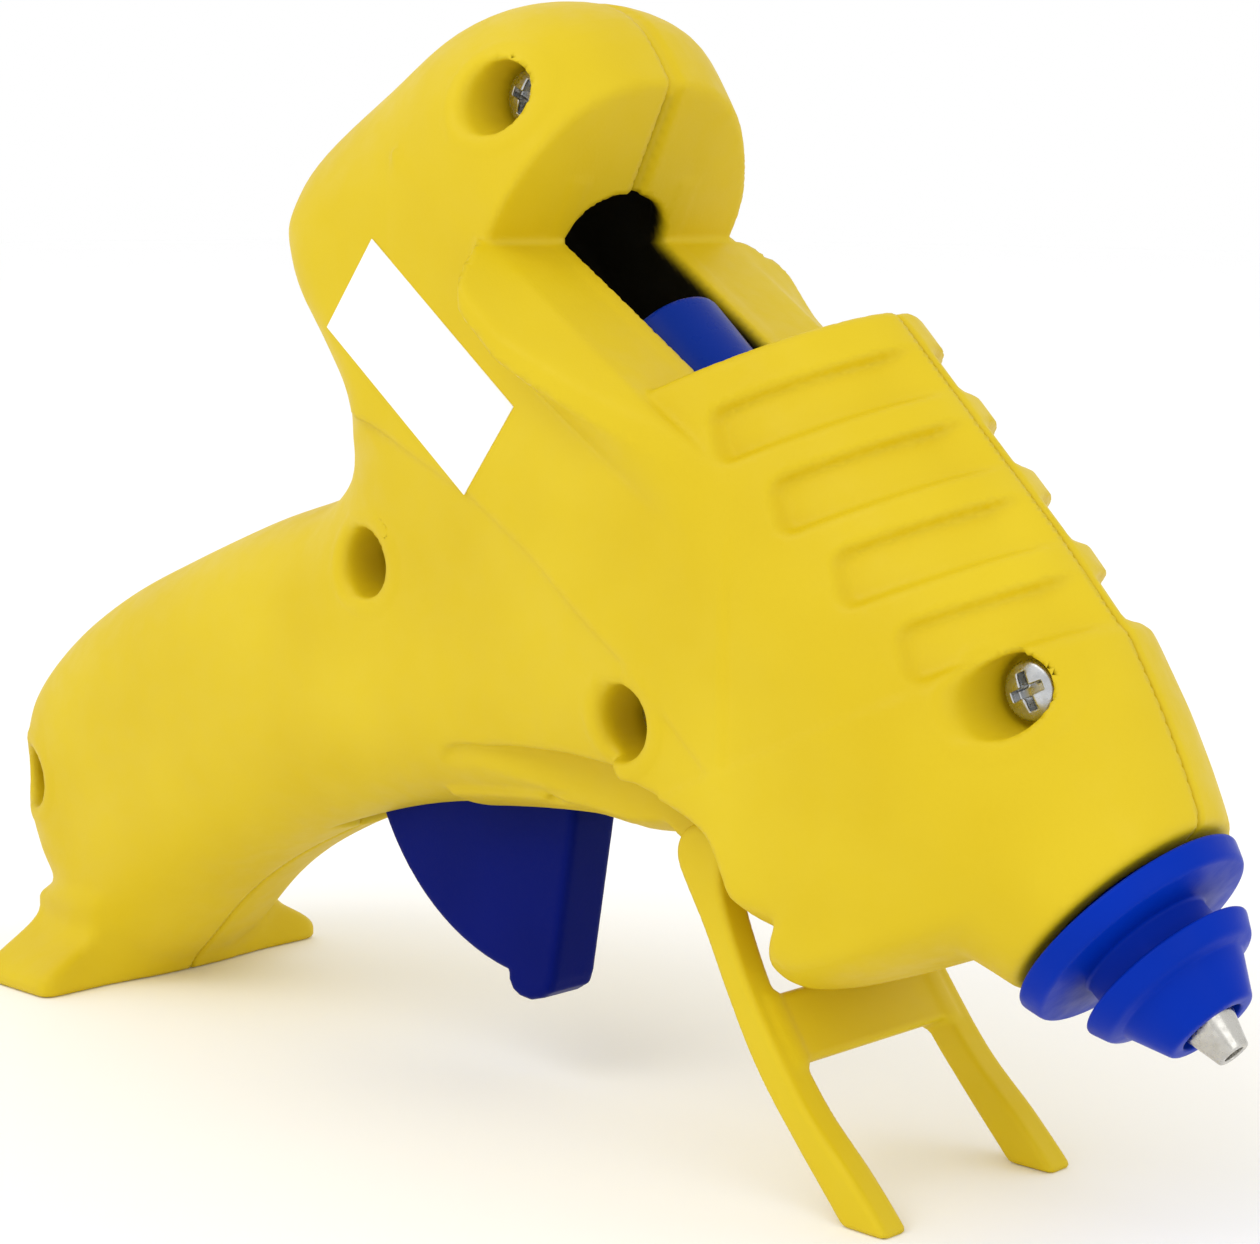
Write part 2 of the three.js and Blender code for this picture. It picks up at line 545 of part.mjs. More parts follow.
// Stand: two curved legs joined by a crossbar, with a stub pin inside each leg.
const legCurve = new THREE.QuadraticBezierCurve(
  new THREE.Vector2(standX - 0.6, standZ + 0.2), new THREE.Vector2(77.2, 10.6), new THREE.Vector2(91.6, 0),
);
function legOutline(steps = 12) {
  const side = (sign) =>
    Array.from({ length: steps + 1 }, (_, i) => {
      const t = i / steps,
        p = legCurve.getPoint(t),
        d = legCurve.getTangent(t);
      return [p.x - (sign * d.y * legThickness) / 2, p.y + (sign * d.x * legThickness) / 2];
    });
  return [...side(1), ...side(-1).reverse()];
}
function stand() {
  const knuckle = 2.6;
  const leg = (yLow, yHigh) => union(prism(legOutline(), yLow, yHigh), pinY([standX, standZ], knuckle, yLow, yHigh));
  const bar = prism(legOutline(), -legInner - 0.2, legInner + 0.2).intersect(
    cut(pinY([standX, standZ], crossbarFar, -30, 30, 40), pinY([standX, standZ], crossbarNear, -31, 31, 40)),
  );
  const stub = wall + 0.6;
  return cut(
    union(
      leg(-legInner - legWidth, -legInner), leg(legInner, legInner + legWidth), bar,
      pinY([standX, standZ], standPinRadius, -legInner - 0.2, -legInner + stub),
      pinY([standX, standZ], standPinRadius, legInner - stub, legInner + 0.2),
    ),
    block([0, -60, -40], [200, 60, 0]),
  );
}

// ---------------------------------------------------------------- nozzle and heater
const nozzleBore = 0.75;
const nozzleTip = () => {
  const body = turned([
    [0, nozzleBore], [0, 1.2], [3.2, 2.1], [5.8, 2.1], [5.8, 3.1], [12, 3.1], [12, 2.2], [16.8, 2.2], [16.8, 1.8],
    [6, 1.8], [4.6, nozzleBore],
  ], 24);
  // Two spanner flats on the cone.
  return cut(body, [1, -1].map((side) =>
    side > 0 ? axisBox(-1, 4.2, -5, 5, 6, 1.75) : axisBox(-1, 4.2, -5, 5, -1.75, -6)));
};
const boot = () =>
  turned([
    [2.3, 2.4], [2.3, 3.4], [5.5, 5], [5.8, 6.3], [7.4, 6.85], [7.7, 4.9], [9.6, 4.9], [9.9, 8.8], [11.6, 9.3],
    [11.8, bootSeatRadius - 0.5], [15.2, bootSeatRadius - 0.5], [15.2, 4.9], [12.2, 4.9], [12.2, 3.3],
    [5.3, 3.3], [5.3, 2.4],
  ], 28);
const pocketTop = -4.6,
  pocketLow = -10.4;
const stackMid = (pocketTop + pocketLow) / 2 - 0.6;
const pocketHalf = 1.85;
function meltChamber() {
  const bore = stickDiameter / 2 + 0.3;
  const barrelPart = turned([
    [12.6, 2.3 + seatClearance], [12.6, 4.6], [15.6, 4.6], [15.6, chamberRadius], [34, chamberRadius],
    [34, chamberRadius - 0.9], [chamberRear, chamberRadius - 0.9], [chamberRear, bore], [22, bore],
    [17.2, 2.3 + seatClearance],
  ], 24);
  const pocket = axisBox(20.5, 30, pocketLow, pocketTop, 5.4);
  return cut(union(barrelPart, pocket), axisBox(19, 32, stackMid - pocketHalf, stackMid + pocketHalf, 4.6),
    rod(16.5, chamberRear + 1, 2.3 + seatClearance, 24));
}
const insulationWall = 0.35;
const heaterInsulation = () => {
  const h = pocketHalf - seatClearance;
  return cut(axisBox(20, 30.5, stackMid - h, stackMid + h, 4.4),
    axisBox(19, 32, stackMid - h + insulationWall, stackMid + h - insulationWall, 4.4 - insulationWall));
};
const stackHalf = pocketHalf - seatClearance - insulationWall - 0.03;
const plateThickness = 0.4;
const electrode = (side) => {
  const outerFace = side * stackHalf,
    innerFace = side * (stackHalf - plateThickness);
  const [low, high] = side > 0 ? [innerFace, outerFace] : [outerFace, innerFace];
  return axisBox(20.8, 33.4, stackMid + low, stackMid + high, side * 2.4 + 1.4, side * 2.4 - 1.4)
    .add(axisBox(20.8, 29.6, stackMid + low, stackMid + high, 3.7));
};
const ptc = () => axisBox(21, 29.4, stackMid - stackHalf + plateThickness + 0.03,
  stackMid + stackHalf - plateThickness - 0.03, 3.6);
// Each ring is open below: the heater pocket and its plates pass through the gap.
const supportRing = (s) => {
  const h = ringThickness / 2;
  return cut(tube(s - h, s + h, ringOuter, chamberRadius + seatClearance), axisBox(s - 3, s + 3, -12, -2, 4.4));
};
const feedSleeve = () =>
  turned([
    [34.4, chamberRadius - 0.9 + seatClearance], [34.4, chamberRadius + 0.9], [40, chamberRadius + 0.9],
    [42, carriageRadius + 0.2], [sleeveRear, carriageRadius + 0.2], [sleeveRear, stickDiameter / 2 + 0.5],
    [chamberRear + 0.3, stickDiameter / 2 + 0.3], [chamberRear + 0.3, chamberRadius - 0.9 + seatClearance],
  ], 24);
const sleeveClamp = () => tube(35.6, 37.8, chamberRadius + 1.7, chamberRadius + 1);
const checkBall = () => solid(new THREE.SphereGeometry(1.4, 12, 8).translate(at(6.4, 0)[0], 0, at(6.4, 0)[1]));
function checkSpring() {
  const turns = 4,
    length = 6.4,
    start = 8.1,
    coil = 1.3;
  class Helix extends THREE.Curve {
    getPoint(t) {
      const a = 2 * Math.PI * turns * t,
        [x, z] = at(start + length * t, coil * Math.cos(a));
      return new THREE.Vector3(x, coil * Math.sin(a), z);
    }
  }
  return sweep(new Helix(), 0.2, 40, 5);
}
// Round bar of a given radius along a curve.
function sweep(curve, radius, steps, sides = 10) {
  const ring = new THREE.Shape(
    Array.from({ length: sides }, (_, i) => {
      const a = (2 * Math.PI * i) / sides;
      return new THREE.Vector2(radius * Math.cos(a), radius * Math.sin(a));
    }),
  );
  const g = new THREE.ExtrudeGeometry(ring, { steps, extrudePath: curve, bevelEnabled: false });
  const made = solid(g);
  return made.volume() > 0 ? made : flipped(g);
}
// Leads run from the electrodes, under the carriage, down the grip to their crimps.
const leadRadius = 0.8,
  leadSide = windowHalfWidth + 1.7;
const crimpX = 8,
  crimpZ = 23.5;
function lead(side) {
  const [x0, z0] = at(34, stackMid + side * stackHalf * 0.8);
  const y = side * leadSide;
  // It crosses just under the trough.
  const [x1, z1] = at(stationOf([70, 42]), channelFloor - channelWall - leadRadius);
  const route = [
    [x0, side * 2.4, z0], [x0 - 2.2, side * 3.4, z0 + 1.2], [77, y - side * 0.6, 39], [x1, y, z1],
    [60, y, 40.5], [46, y, 36.5], [30, y, 31.5], [18, y, 27.5], [crimpX + 4.4, y, crimpZ + 1.6],
  ].map((p) => new THREE.Vector3(...p));
  return sweep(new THREE.CatmullRomCurve3(route, false, "centripetal"), leadRadius, 24, 6);
}
const crimp = (side) => {
  const g = new THREE.CylinderGeometry(1.7, 1.7, 8, 16).rotateZ(Math.PI / 2);
  return solid(g.rotateY(rad(-20)).translate(crimpX, side * leadSide, crimpZ));
};

// ---------------------------------------------------------------- fasteners, pins and label
function screw(name) {
  const place = screwPlaces[name],
    seat = screwSides[name] - screwSink - screwHeadHeight,
    crown = -seat - screwHeadHeight;
  const [x, z] = place;
  const profile = [
    [0, crown], [1.1, crown + 0.08], [1.8, crown + 0.5], [screwHeadRadius, crown + 1.2], [screwHeadRadius, -seat - 0.05],
    [screwShankRadius, -seat - 0.05], [screwShankRadius, seat + 0.2], [0.2, seat + 1.2], [0, seat + 1.2],
  ];
  const g = new THREE.LatheGeometry(profile.map(([r, y]) => new THREE.Vector2(Math.max(r, 0), y)), 16);
  let made = solid(g.translate(x, 0, z));
  if (made.volume() < 0) made = flipped(g);
  const slot = 0.45,
    depth = 1.1;
  return cut(made,
    block([x - 1.5, crown - 1, z - slot], [x + 1.5, crown + depth, z + slot]),
    block([x - slot, crown - 1, z - 1.5], [x + slot, crown + depth, z + 1.5]));
}
const labelLength = 19.8,
  labelWidth = 8.8,
  labelThickness = 0.2,
  labelPlace = [47.3, 58.9],
  labelPitch = rad(-37.6);
function label() {
  const c = Math.cos(labelPitch),
    s = Math.sin(labelPitch);
  const corner = (u, v) => [labelPlace[0] + u * c - v * s, labelPlace[1] + u * s + v * c];
  const a = labelLength / 2,
    b = labelWidth / 2;
  const y = -barrelHalfWidth - 0.02;
  return prism([corner(-a, -b), corner(a, -b), corner(a, b), corner(-a, b)], y - labelThickness, y);
}

// ---------------------------------------------------------------- assembly
const gun = new THREE.Group();
function add(name, made, finish) {
  const mesh = made.getMesh();
  const g = new THREE.BufferGeometry();
  g.setAttribute("position", new THREE.BufferAttribute(new Float32Array(mesh.vertProperties), 3));
  g.setIndex(new THREE.BufferAttribute(new Uint32Array(mesh.triVerts), 1));
  g.computeVertexNormals();
  const node = new THREE.Mesh(g, new THREE.MeshStandardMaterial(finish));
  node.name = name;
  gun.add(node);
}
add("right_shell", shell(-1), yellow);
add("left_shell", shell(1), yellow);
for (const name of Object.keys(screwPlaces)) add(name + "_screw", screw(name), steel);
add("label", label(), paper);
add("trigger", trigger(), blue);
add("trigger_pin", pinY([triggerX, triggerZ], triggerPinRadius, -triggerPinHalf, triggerPinHalf), steel);
add("drive_pin", pinY(armEnd, drivePinRadius, -triggerHalfWidth, triggerHalfWidth), steel);
add("feed_carriage", carriage(), blue);
add("grip_jaw", gripJaw(), steel);
add("stand", stand(), yellow);
add("nozzle_boot", boot(), silicone);
add("nozzle_tip", nozzleTip(), steel);
add("check_ball", checkBall(), steel);
add("check_spring", checkSpring(), steel);
add("melt_chamber", meltChamber(), aluminium);
add("front_support_ring", supportRing(ringStations[0]), ceramic);
add("rear_support_ring", supportRing(ringStations[1]), ceramic);
add("feed_sleeve", feedSleeve(), silicone);
add("sleeve_clamp", sleeveClamp(), steel);
add("ptc_element", ptc(), ceramic);
add("upper_electrode", electrode(1), copper);
add("lower_electrode", electrode(-1), copper);
add("heater_insulation", heaterInsulation(), film);
add("live_lead", lead(-1), wireRed);
add("neutral_lead", lead(1), wireBlack);
add("live_crimp", crimp(-1), copper);
add("neutral_crimp", crimp(1), copper);

// Origin: middle of the footprint, on the surface it stands on.
const reach = new THREE.Box3().setFromObject(gun);
gun.position.set(-(reach.min.x + reach.max.x) / 2, 0, -reach.min.z);

export default gun;
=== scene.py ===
"""Looks of a small hot-melt glue gun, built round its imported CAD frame.

The moulded pieces are level surfaces of solid functions: a function gives, at any point, roughly how
many millimetres the point lies inside the piece, and the piece's skin is where it is zero. Turned
pieces are profiles swept round the stick axis. Shape functions work in millimetres, with x = 0 at the
front edge of the foot, y = 0 on the parting plane and z = 0 on the table. The frame's own x origin is
read from its joints.
"""

import json
import math

import bpy
import numpy as np
from mathutils import Matrix, Vector


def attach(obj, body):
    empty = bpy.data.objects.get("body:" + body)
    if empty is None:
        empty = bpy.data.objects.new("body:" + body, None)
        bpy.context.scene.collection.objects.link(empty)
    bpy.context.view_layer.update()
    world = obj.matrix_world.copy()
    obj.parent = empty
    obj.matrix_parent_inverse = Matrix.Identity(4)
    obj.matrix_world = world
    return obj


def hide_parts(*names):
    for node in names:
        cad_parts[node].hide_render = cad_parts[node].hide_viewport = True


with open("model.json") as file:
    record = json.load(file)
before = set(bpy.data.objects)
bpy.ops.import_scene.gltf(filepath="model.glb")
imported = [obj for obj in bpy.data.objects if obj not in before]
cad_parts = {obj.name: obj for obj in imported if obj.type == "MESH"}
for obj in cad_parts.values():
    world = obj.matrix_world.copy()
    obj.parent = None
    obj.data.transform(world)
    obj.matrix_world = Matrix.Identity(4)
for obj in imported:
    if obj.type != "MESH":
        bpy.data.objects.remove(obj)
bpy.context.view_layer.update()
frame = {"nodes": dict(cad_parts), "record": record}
joints = {j["name"]: j for j in frame["record"]["behaviour"]["joints"]}

PIVOT = (48.8, 29.2)  # trigger pivot, (x, z)
STAND = (73.5, 25.6)  # stand pivot
SHIFT = joints["trigger_pivot"]["pos_m"][0] * 1000 - PIVOT[0]  # from shape x to the frame's x
PITCH = math.radians(40.7)  # slope of the stick axis
AX, AZ = math.cos(PITCH), math.sin(PITCH)
TIP = (112.9, 15.4)  # end of the nozzle
RIB = math.radians(25)  # slope of the hood's finger grooves
BARREL = 13.6  # half width of the barrel and the head
SHOULDER = (54.9, 68.3)  # where the shoulders beside the window meet the head's front face
CHANNEL, CHANNEL_FLOOR = 5.2, -5.3  # half width of the stick channel, and the height of its floor


# ------------------------------------------------------------------ coordinates
def station(x, z):
    """Distance behind the nozzle end, along the stick axis."""
    return (TIP[0] - x) * AX - (TIP[1] - z) * AZ


def height(x, z):
    """Height above the stick axis, square to it."""
    return (x - TIP[0]) * AZ + (z - TIP[1]) * AX


def at(s, h):
    """The (x, z) of a station and a height."""
    return (TIP[0] - s * AX + h * AZ, TIP[1] + s * AZ + h * AX)


def rib_along(x, z):
    """Distance forwards along the finger grooves."""
    return x * math.cos(RIB) + z * math.sin(RIB)


def rib_down(x, z):
    """Distance down the hood, square to the finger grooves."""
    return x * math.sin(RIB) - z * math.cos(RIB)


# ------------------------------------------------------------------ solid functions
def step(a, b, v):
    """Smooth step from 0 at v = a to 1 at v = b."""
    t = np.clip((v - a) / (b - a), 0, 1)
    return t * t * (3 - 2 * t)


def both(a, b, r):
    """Inside a and b, with an edge rounded over about r."""
    h = np.clip(0.5 + 0.5 * (b - a) / r, 0, 1)
    return b + (a - b) * h - r * h * (1 - h)


def either(a, b, r):
    """Inside a or b, with a fillet of about r between them."""
    return -both(-a, -b, r)


def least(first, *others):
    """Inside every one of the walls given, with sharp edges."""
    for wall in others:
        first = np.minimum(first, wall)
    return first


def cut(body, *walls, edge=None):
    """The body less the space inside all the walls, its rim sharp or rounded over about edge."""
    hole = -least(*walls)
    return np.minimum(body, hole) if edge is None else both(body, hole, edge)


def curve(points, per=5):
    """Closed smooth curve through points: a Catmull-Rom spline with per steps between neighbours."""
    p = np.array(points, float)
    a, b, c, d = np.roll(p, 1, 0), p, np.roll(p, -1, 0), np.roll(p, -2, 0)
    t = np.arange(per)[:, None, None] / per
    q = 0.5 * (2 * b + (c - a) * t + (2 * a - 5 * b + 4 * c - d) * t**2 + (3 * b - a - 3 * c + d) * t**3)
    return q.transpose(1, 0, 2).reshape(-1, 2)


def within(x, z, outline):
    """Distance inside a closed side-view outline, negative outside it."""
    x, z = np.broadcast_arrays(x, z)
    best = np.full(x.shape, 1e9)
    odd = np.zeros(x.shape, bool)
    for (x0, z0), (x1, z1) in zip(outline, np.roll(outline, -1, 0)):
        dx, dz = x1 - x0, z1 - z0
        t = np.clip(((x - x0) * dx + (z - z0) * dz) / (dx * dx + dz * dz + 1e-12), 0, 1)
        best = np.minimum(best, (x - x0 - t * dx) ** 2 + (z - z0 - t * dz) ** 2)
        if z0 != z1:
            odd ^= ((z0 > z) != (z1 > z)) & (x < x0 + (z - z0) * dx / dz)
    return np.sqrt(best) * np.where(odd, 1, -1)


def along(v, knots, values, soft=0.5):
    """Values between knots: straight lines, smoothed by a Gaussian of width soft."""
    fine = np.arange(knots[0] - 2, knots[-1] + 2, 0.1)
    kernel = np.exp(-0.5 * (np.arange(-30, 31) * 0.1 / soft) ** 2)
    line = np.pad(np.interp(fine, knots, values), 30, mode="edge")
    return np.interp(v, fine, np.convolve(line, kernel / kernel.sum(), "valid"))


def pillow(depth, radius, y, width, n):
    """Solid of half width `width`, rounded over `radius` at its outline as a superellipse of power n."""
    edge = np.maximum(1 - depth / radius, 0)
    return np.minimum(radius, width) * (1 - (edge**n + (np.abs(y) / width) ** n) ** (1 / n))


GRIP = curve([
    (-0.8, -6), (-0.5, -1), (4.1, 3.7), (9.2, 8.5), (14.9, 12.5), (21.5, 16), (27.3, 18.4), (37, 21.4),
    (47, 23.2), (58, 24.2), (66, 24), (76, 27), (82, 32), (80, 44), (70, 54), (60, 60), (48, 62),
    (37.5, 60.5), (33.4, 57), (32.7, 53.4), (32.3, 50.4), (29.2, 47.5), (26.5, 46.5), (20.5, 44.7),
    (15, 42.7), (8.4, 40.1), (1.5, 37.2), (-4.4, 34), (-9, 30.7), (-12.4, 27.4), (-14.1, 24.4), (-15, 21),
    (-15.1, 17.5), (-14.4, 14), (-12.4, 9.7), (-9.4, 5.4), (-9, 0), (-9.2, -6),
])
HEAD = curve([
    (35.6, 49.5), (35.2, 54.3), (33.2, 57.8), (28.4, 64.2), (26.3, 68.7), (27.2, 73.2), (30.2, 76.9),
    (37.5, 81.4), (44.5, 85.4), (51, 86.7), (57, 85.2), (61, 80.3), (64, 74.5), (68, 66), (73, 56),
    (76, 44), (70, 34), (58, 32), (44, 38),
])
RECESS = curve([
    (46.6, 8), (46.6, 18), (46.6, 27.9), (52.4, 29.6), (58, 30.1), (62.2, 30.2), (67, 29.9), (72, 28.9),
    (76.6, 27.2), (78.2, 25.2), (79.2, 22.6), (80.2, 20.8), (80.6, 12), (80.6, 4), (60, 2), (50, 2),
])
KEEL = curve([
    (45, 31), (45, 22.9), (51, 22.7), (57, 22.6), (61.5, 22.9), (63.2, 24.4), (64.5, 23.6), (67.4, 22.2),
    (69.5, 21.9), (74, 21.8), (80.2, 20.4), (82, 26), (76, 32), (60, 34),
])
CREASE = (  # stations, and the heights of the barrel's lower edge there
    [48.5, 53.7, 60, 67.4, 71.4, 79.5, 86.2, 92],
    [-11.3, -11.9, -12.2, -13.4, -14.7, -17.4, -21.6, -29],
)
SCREWS = {  # x, z and the half width of the shell there
    "head_screw": (53.8, 79.1, 12.0),
    "front_screw": (99.5, 39.1, 9.4),
    "upper_middle_screw": (38.9, 42.8, 11.2),
    "lower_middle_screw": (68.4, 33.8, 12.2),
    "grip_screw": (-9.3, 18.4, 8.4),
}


def shoulder_depth(x, z):
    """Depth below the plane of the shoulders beside the window."""
    return (SHOULDER[1] - 0.68 * (x - SHOULDER[0]) - z) * 0.827


def outer_form(x, y, z):
    """The closed outer form of both shell halves, finger grooves and all, before its openings are cut."""
    s, h, down = station(x, z), height(x, z), rib_down(x, z)
    ay = np.abs(y)
    under = shoulder_depth(x, z)
    lower_edge = h - along(s, *CREASE)
    width = 10.3 + 1.7 * step(0, 34, z) + 1.35 * np.clip(1 + lower_edge / 15, 0, 1) ** 1.5
    grip = pillow(within(x, z, GRIP), 7.6 + 4.2 * step(4, 24, z), y, width, 2.5)
    # Foot: low lobes that flare out either side of the grip.
    flare = 10 + 6 * (1 - step(1.0, 6.4, z)) ** 1.2
    foot = both(both((flare - ay) * 0.75, 4.9 - np.abs(x + 4.9), 1.2), 7.5 - z, 0.8)
    grip = either(grip, foot, 2.2)
    # Head, above the barrel's lower edge and behind its own front face.
    head = pillow(within(x, z, HEAD), 6 + 7.6 * step(63, 77, z), y, BARREL, 2.4)
    front_face = (z - SHOULDER[1]) * 0.453 - (x - SHOULDER[0]) * 0.891
    head = both(both(head, either(front_face, under, 0.4), 0.45), lower_edge, 0.4)
    # Barrel and hood.
    low = along(
        s,
        [12.3, 16.4, 17.4, 19.5, 21.6, 23.0, 24.0, 25.2, 25.9, 26.4, 31.2, 42, 45.5, 48.5, 53.7, 60,
         67.4, 75],
        [-8.0, -9.2, -10.8, -15, -18.8, -20.7, -21.2, -21.2, -20, -18.2, -20, -21.6, -19.5, -12.2, -11.9,
         -12.2, -13.4, -16],
        0.25,
    )
    high = along(
        s,
        [12.3, 13.6, 16, 19.9, 25.5, 34, 43.9, 54.2, 62],
        [9.3, 10.1, 11.2, 12.8, 14.7, 15.8, 16.5, 17.3, 17.6],
    )
    width = along(s, [12.3, 14.8, 18, 20.5, 26, 33, 50], [9.1, 9.9, 11.2, 12.1, 13.1, BARREL, BARREL])
    middle = along(s, [12.3, 16, 20.5, 33, 62], [0, -0.4, -1.6, -2, -1.4])
    power = along(s, [12.3, 18, 26, 33], [2, 1.9, 1.8, 1.75])
    crown = np.maximum((h - middle) / (high - middle), 0)
    top = width * (1 - (crown**power + (ay / width) ** power) ** (1 / power))
    belly = pillow(h - low, np.interp(s, [12.3, 17, 22, 30, 44], [9.3, 9.4, 8, 5, 4]), y, width + 0.05, 2.2)
    barrel = both(top, belly, 0.6) + 0.22 * step(4.1, 4.8, down)
    barrel = both(both(barrel, either(down + 23, under, 0.4), 0.7), both(s - 12.3, 76 - s, 1), 0.7)
    # Shoulders: they flare beside the window and fall back to the barrel's side below.
    flare = along(x, [53.6, 54.6, 55.9, 56.9, 60.5, 69, 77], [0, 0.8, 3.3, 5.15, 4.5, 2.0, 0], 0.35)
    fall = under - along(x, [55, 57, 60.5, 69], [0, 0.2, 0.45, 0.55]) * np.maximum(ay - 13.4, 0)
    barrel_side = width * np.maximum(1 - crown**power, 0) ** (1 / power)
    side = BARREL + (barrel_side - BARREL) * step(62, 76, x)
    wing = side + flare * np.clip(1 - np.maximum(fall - 1.6, 0) / 4.2, 0, 1) ** 1.1
    trunk = both(both((wing - ay) * 0.9, fall, 0.6), both(lower_edge, both(x - 44, 79 - x, 1), 1), 0.5)
    # Finger grooves of the hood: four a side, closed at their rear end, fading out at the ridge.
    rear = rib_along(x, z)
    groove = -9.0
    for i in range(4):
        middle_d, end = -17.6 + 6.5 * i, 92.2 + 3.1 * i
        a, b = np.abs(down - middle_d) - 1.0, end + 1 - rear
        slot = 1 - np.hypot(np.maximum(a, 0), np.maximum(b, 0)) - np.minimum(np.maximum(a, b), 0)
        groove = np.maximum(groove, slot)
    barrel = barrel - 0.8 * step(-0.3, 0.45, groove) * step(0.1, 3.6, ay)
    upper = either(either(head, trunk, 0.12), barrel, 0.12)
    return either(both(grip, under - 1, 0.3), upper, 0.35)


def shell_half(x, y, z, screws):
    """One shell half, for y > 0; screws is true for the half that takes the screw heads."""
    ay = np.abs(y)
    s, h = station(x, z), height(x, z)
    form = outer_form(x, y, z)
    if not screws:  # the parting band of the head: this half stands back beside the seam
        form = form - 0.32 * step(1.5, 1.0, ay) * step(62, 66, z)
    recess, keel_side = within(x, z, RECESS), within(x, z, KEEL)
    keel = both(both(keel_side, 7.9 - ay, 0.5), form + 4, 1)
    floor = 7.9 + 2.3 * step(62, 49, x)
    solid = either(both(form, -both(recess, ay - floor, 0.3), 0.5), both(keel, form + 0.4, 0.3), 0.3)
    solid = both(solid, z, 0.5)
    # Hollow: the same form two millimetres in, kept off the recess's wall, the keel's floor and the sole.
    free = 60.0  # deeper than anything, so no limit
    hollow = both(form - 2, either(-(recess + 1.7), 5.9 - ay, 0.3), 0.3)
    hollow = least(hollow, np.where(recess > -3, keel_side - 1.8 + free * (z > 27), free), z - 2)
    body = cut(solid, hollow, edge=0.4)
    # Trough that guides the carriage, with a slot below for its lug.
    trough = both(both(7 - ay, h + 7, 0.3), both(7.5 - h, both(s - 50, 90 - s, 0.3), 0.3), 0.3)
    trough = both(trough, form, 0.3)
    channel = least(CHANNEL - ay, h - CHANNEL_FLOOR, s - 45, 94 - s)
    lug_slot = least(1.35 - ay, -h, s - 47, 76 - s)
    body = either(body, both(trough, -np.maximum(channel, lug_slot), 0.2), 0.3)
    # Bosses under the screws and round the trigger pin.
    for px, pz, side in SCREWS.values():
        rho, seat = np.hypot(x - px, z - pz), side - 5.1
        boss = both(2.5 - rho, form, 0.3)
        if screws:
            boss = either(boss, both(both(4.2 - rho, ay - seat + 1.4, 0.3), form, 0.3), 0.3)
        body = either(body, boss, 0.4)
        if screws:
            edge = 0.45 + 1.0 * step(0.5, 2.5, px - x) * step(side - 4, side - 1, ay)
            body = cut(body, 2.6 + 0.04 * (ay - seat) - rho, ay - seat, edge=edge)
            body = cut(body, 1.4 - rho, seat + 1 - ay)
        else:
            body = cut(body, 1.25 - rho, side - 2.4 - ay)
    rho = np.hypot(x - PIVOT[0], z - PIVOT[1])
    body = either(body, both(both(3.5 - rho, ay - 2.85, 0.2), 7.7 - ay, 0.2), 0.4)
    body = cut(body, 1.6 - rho, 6.8 - ay)
    rho = np.hypot(x - STAND[0], z - STAND[1])
    body = cut(body, 1.65 - rho, ay - 3)
    # Window, and the arch behind it under the head's front face.
    under = shoulder_depth(x, z)
    body = cut(body, CHANNEL - ay, h - CHANNEL_FLOOR, under + 4 * step(78, 74, s), s - 46, 80 - s, edge=0.55)
    arch = 5.3 * (1 - np.hypot(np.maximum(h - 2.2, 0) / 3.9, ay / 5.3))
    body = cut(body, arch, s - 64, 92 - s, h + 4, edge=0.5)
    # Stick inlet, mouth, cord inlet, trigger slot and a fine slit in the keel's side.
    off_axis = np.hypot(h, y)
    body = cut(body, 4.6 - off_axis, s - 80, edge=0.5)
    body = cut(body, 6.6 - off_axis, 17.5 - s, edge=0.35)
    body = cut(body, 3.1 - np.hypot(y, z - 9.6), -8 - x, edge=0.5)
    slot = within(x, z, np.array([(25, 4), (25, 24), (31, 31.4), (55.4, 31.4), (55.4, 4)], float))
    body = cut(body, slot, 3.2 - ay, edge=0.4)
    slit = 0.45 - np.abs(z - 25.4 + 0.35 * (x - 56))
    body = cut(body, slit, x - 55.5, 64 - x, ay - 7.1, edge=0.3)
    return both(body, y - 0.05, 0.3)


